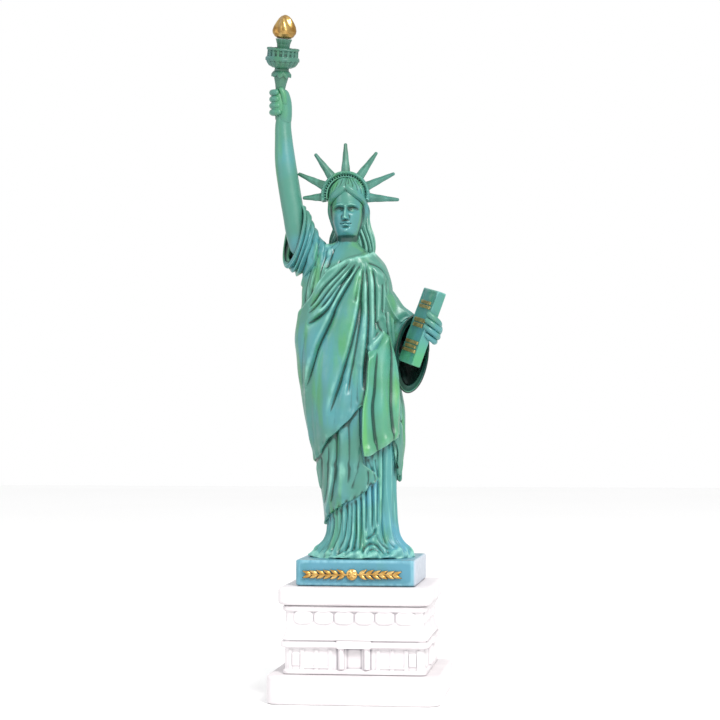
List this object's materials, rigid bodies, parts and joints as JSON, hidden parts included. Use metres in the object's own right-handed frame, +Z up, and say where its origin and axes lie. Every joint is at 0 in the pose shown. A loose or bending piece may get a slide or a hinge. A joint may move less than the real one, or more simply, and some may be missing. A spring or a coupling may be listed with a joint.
{
  "type": "miniature landmark statuette",
  "caption": "Souvenir statuette of a robed, crowned lady who lifts a torch and holds a tablet, on a blue-green plinth and a white moulded square pedestal.",
  "frame": {"origin": "centre of the pedestal's underside, on the felt", "axes": "+Z up through the pedestal, the lady faces -Y, her raised right arm is on -X"},
  "size_m": [0.0827, 0.076, 0.305],
  "materials": {
    "green_patina": "cast resin, hand-painted verdigris green with darker creases and rubbed lighter ridges, semi-gloss",
    "blue_patina": "cast resin, hand-painted blue-green, satin",
    "gilt_paint": "gold paint over cast resin, glossy",
    "white_resin": "cast resin, painted off-white, matt",
    "plated_steel": "zinc-plated",
    "black_felt": "pressed felt, self-adhesive"
  },
  "bodies": {
    "root": {"pedestal_footing": "white_resin", "pedestal_trunk": "white_resin", "pedestal_cap": "white_resin", "felt_pad": "black_felt", "figure_plinth": "blue_patina", "tablet": "blue_patina", "draped_body": "green_patina", "head": "green_patina", "crown_diadem": "green_patina", "crown_ray_1": "green_patina", "crown_ray_2": "green_patina", "crown_ray_3": "green_patina", "crown_ray_4": "green_patina", "crown_ray_5": "green_patina", "crown_ray_6": "green_patina", "crown_ray_7": "green_patina", "raised_sleeve": "green_patina", "raised_arm": "green_patina", "torch_handle": "green_patina", "torch_collar": "green_patina", "torch_gallery": "green_patina", "torch_cup": "green_patina", "tablet_sleeve": "green_patina", "tablet_arm": "green_patina", "plinth_laurel": "gilt_paint", "torch_flame": "gilt_paint", "tablet_gilt_bar_1": "gilt_paint", "tablet_gilt_bar_2": "gilt_paint", "tablet_gilt_bar_3": "gilt_paint", "tie_rod": "plated_steel", "tie_washer": "plated_steel", "tie_nut": "plated_steel", "neck_dowel": "plated_steel", "raised_arm_dowel": "plated_steel", "tablet_arm_dowel": "plated_steel"}
  },
  "joints": []
}
